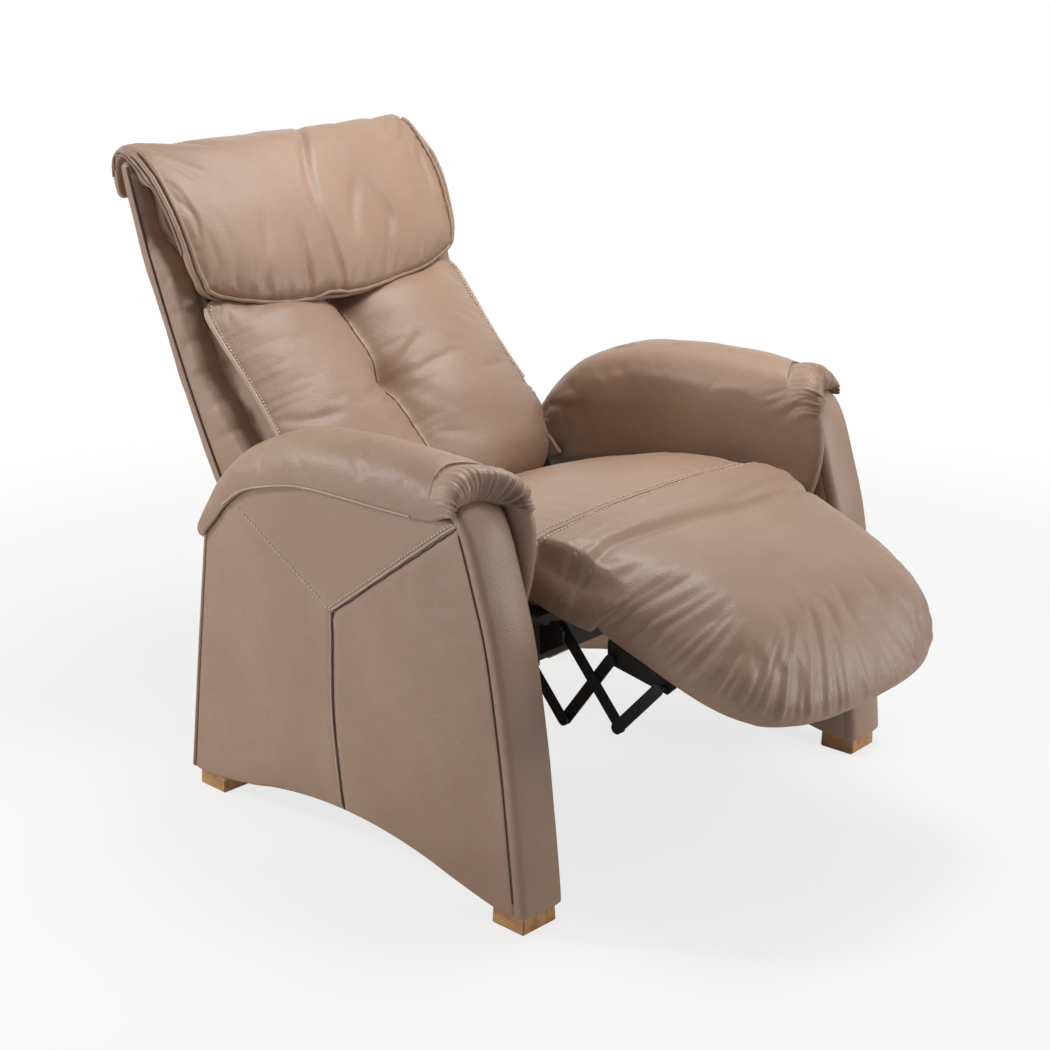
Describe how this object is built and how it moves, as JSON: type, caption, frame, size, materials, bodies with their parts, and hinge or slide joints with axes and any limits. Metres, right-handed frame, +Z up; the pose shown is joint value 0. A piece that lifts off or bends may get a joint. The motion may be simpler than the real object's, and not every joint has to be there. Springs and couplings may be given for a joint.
{
  "type": "recliner armchair",
  "caption": "Leather recliner armchair: fixed arms on wooden feet, tilting backrest and headrest, and a padded legrest raised by crossed steel links.",
  "frame": {"origin": "on the floor, under the middle of the chair's whole length and width", "axes": "+Z up, -Y the way the sitter faces, +X the sitter's left"},
  "size_m": [0.809, 1.1575, 0.8871],
  "materials": {
    "leather": "smooth semi-satin taupe leather",
    "oak": "satin oiled oak",
    "frame_wood": "bare sawn frame timber and plywood",
    "webbing": "woven elastic webbing",
    "black_steel": "matte black powder coat"
  },
  "bodies": {
    "base": {"arm_outer_panel_left": "leather", "arm_inner_panel_left": "leather", "arm_front_facing_left": "leather", "arm_pad_left": "leather", "arm_front_post_left": "frame_wood", "arm_rear_post_left": "frame_wood", "arm_top_board_left": "frame_wood", "foot_front_left": "oak", "foot_rear_left": "oak", "seat_side_rail_left": "frame_wood", "mech_side_plate_left": "black_steel", "back_bracket_left": "black_steel", "arm_outer_panel_right": "leather", "arm_inner_panel_right": "leather", "arm_front_facing_right": "leather", "arm_pad_right": "leather", "arm_front_post_right": "frame_wood", "arm_rear_post_right": "frame_wood", "arm_top_board_right": "frame_wood", "foot_front_right": "oak", "foot_rear_right": "oak", "seat_side_rail_right": "frame_wood", "mech_side_plate_right": "black_steel", "back_bracket_right": "black_steel", "base_beam_front": "frame_wood", "base_beam_rear": "frame_wood", "seat_front_deck": "frame_wood", "seat_rear_rail": "frame_wood", "seat_webbing": "webbing", "seat_cushion": "leather", "mech_cross_tube": "black_steel"},
    "legrest": {"legrest_pad": "leather", "legrest_board": "frame_wood", "legrest_bracket_left": "black_steel", "legrest_bracket_right": "black_steel"},
    "backrest": {"back_shell": "leather", "back_cushion": "leather", "back_top_rail": "frame_wood", "back_bottom_rail": "frame_wood", "back_post_left": "frame_wood", "back_side_panel_left": "leather", "back_hinge_arm_left": "black_steel", "head_ratchet_lower_left": "black_steel", "back_post_right": "frame_wood", "back_side_panel_right": "leather", "back_hinge_arm_right": "black_steel", "head_ratchet_lower_right": "black_steel"},
    "headrest": {"head_shell": "leather", "head_board": "frame_wood", "head_pillow": "leather", "head_ratchet_upper_left": "black_steel", "head_ratchet_upper_right": "black_steel"},
    "rear_crank_left": {"mech_rear_crank_left": "black_steel"},
    "long_link_left": {"mech_long_link_left": "black_steel"},
    "front_crank_left": {"mech_front_crank_left": "black_steel"},
    "short_link_left": {"mech_short_link_left": "black_steel"},
    "rear_crank_right": {"mech_rear_crank_right": "black_steel"},
    "long_link_right": {"mech_long_link_right": "black_steel"},
    "front_crank_right": {"mech_front_crank_right": "black_steel"},
    "short_link_right": {"mech_short_link_right": "black_steel"}
  },
  "joints": [
    {"name": "legrest_fold", "type": "hinge", "parent": "base", "child": "legrest", "pos_m": [0, -0.225, 0.388], "axis": [1, 0, 0], "range_deg": [-18, 60]},
    {"name": "backrest_recline", "type": "hinge", "parent": "base", "child": "backrest", "pos_m": [0, 0.269, 0.385], "axis": [1, 0, 0], "range_deg": [-20, 14]},
    {"name": "headrest_tilt", "type": "hinge", "parent": "backrest", "child": "headrest", "pos_m": [0, 0.474, 0.69], "axis": [1, 0, 0], "range_deg": [0, 25]},
    {"name": "rear_crank_left_turn", "type": "hinge", "parent": "base", "child": "rear_crank_left", "pos_m": [0.2312, -0.153, 0.313], "axis": [1, 0, 0], "range_deg": [-18, 57]},
    {"name": "long_link_left_turn", "type": "hinge", "parent": "rear_crank_left", "child": "long_link_left", "pos_m": [0.2252, -0.238, 0.217], "axis": [1, 0, 0], "range_deg": [-49, 16]},
    {"name": "front_crank_left_turn", "type": "hinge", "parent": "base", "child": "front_crank_left", "pos_m": [0.2312, -0.235, 0.345], "axis": [1, 0, 0], "range_deg": [-25, 79]},
    {"name": "short_link_left_turn", "type": "hinge", "parent": "front_crank_left", "child": "short_link_left", "pos_m": [0.2372, -0.333, 0.235], "axis": [1, 0, 0], "range_deg": [-18, 7]},
    {"name": "rear_crank_right_turn", "type": "hinge", "parent": "base", "child": "rear_crank_right", "pos_m": [-0.2312, -0.153, 0.313], "axis": [1, 0, 0], "range_deg": [-18, 57]},
    {"name": "long_link_right_turn", "type": "hinge", "parent": "rear_crank_right", "child": "long_link_right", "pos_m": [-0.2252, -0.238, 0.217], "axis": [1, 0, 0], "range_deg": [-49, 16]},
    {"name": "front_crank_right_turn", "type": "hinge", "parent": "base", "child": "front_crank_right", "pos_m": [-0.2312, -0.235, 0.345], "axis": [1, 0, 0], "range_deg": [-25, 79]},
    {"name": "short_link_right_turn", "type": "hinge", "parent": "front_crank_right", "child": "short_link_right", "pos_m": [-0.2372, -0.333, 0.235], "axis": [1, 0, 0], "range_deg": [-18, 7]}
  ],
  "couplings": [
    {"joint": "rear_crank_left_turn", "follows": "legrest_fold", "ratio": 0.924},
    {"joint": "long_link_left_turn", "follows": "legrest_fold", "ratio": -0.794},
    {"joint": "front_crank_left_turn", "follows": "legrest_fold", "ratio": 1.289},
    {"joint": "short_link_left_turn", "follows": "legrest_fold", "ratio": -0.28},
    {"joint": "rear_crank_right_turn", "follows": "legrest_fold", "ratio": 0.924},
    {"joint": "long_link_right_turn", "follows": "legrest_fold", "ratio": -0.794},
    {"joint": "front_crank_right_turn", "follows": "legrest_fold", "ratio": 1.289},
    {"joint": "short_link_right_turn", "follows": "legrest_fold", "ratio": -0.28}
  ]
}
